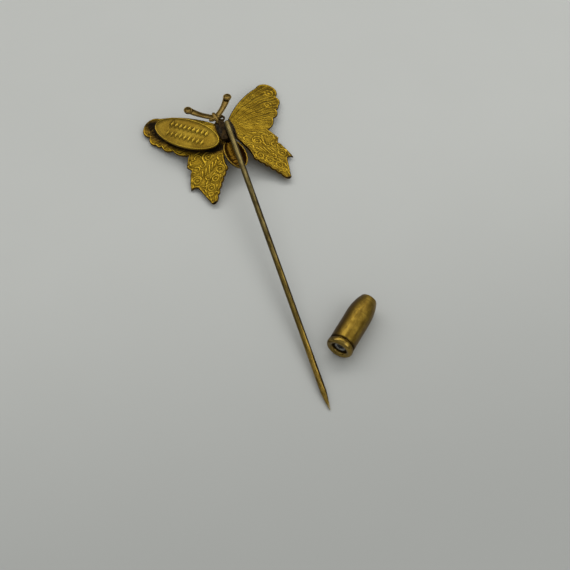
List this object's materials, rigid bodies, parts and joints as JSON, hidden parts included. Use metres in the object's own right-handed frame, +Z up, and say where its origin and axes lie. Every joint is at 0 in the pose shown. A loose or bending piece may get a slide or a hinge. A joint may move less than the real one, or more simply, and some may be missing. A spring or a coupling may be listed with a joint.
{
  "type": "butterfly stick pin",
  "caption": "Stick pin with a stamped butterfly head on a straight pointed wire, lying face down beside its loose bullet-shaped push-on clutch.",
  "frame": {"origin": "on the table under the middle of the whole object's plan box", "axes": "+Z up from the table; +Y along the stem in plan, from the sharp point towards the butterfly; +X to the side where the loose clutch lies"},
  "size_m": [0.0292, 0.0726, 0.0063],
  "materials": {
    "wing_gilt": "antiqued gold plating, satin, dark in the recesses",
    "plate_gilt": "antiqued gold plating, smooth satin",
    "body_gilt": "amber-tarnished gold plating",
    "antenna_gilt": "copper-brown tarnished plating",
    "dark_strap": "black-brown tarnish",
    "stem_wire": "worn plating, grey at the head and gold at the point",
    "old_solder": "blackened solder",
    "dark_deposit": "rough dark adhesive or flux",
    "clutch_gilt": "streaky gold plating, polished and rubbed",
    "grey_washer": "dull grey metal",
    "liner_nylon": "matt nylon"
  },
  "bodies": {
    "pin": {"right_wing": "wing_gilt", "left_wing": "wing_gilt", "body_shell": "body_gilt", "antennae": "antenna_gilt", "thorax_strap": "dark_strap", "stem": "stem_wire", "stem_solder": "old_solder", "left_wing_solder": "old_solder", "right_wing_solder": "old_solder", "oval_plate": "plate_gilt", "plate_solder": "dark_deposit"},
    "clutch": {"clutch_shell": "clutch_gilt", "clutch_mouth_ring": "clutch_gilt", "clutch_washer": "grey_washer", "clutch_liner": "liner_nylon"}
  },
  "joints": [
    {"name": "clutch_slide", "type": "slide", "parent": "pin", "child": "clutch", "axis": [0.723, 0.6909, 0], "range_m": [0, 0.012]}
  ]
}
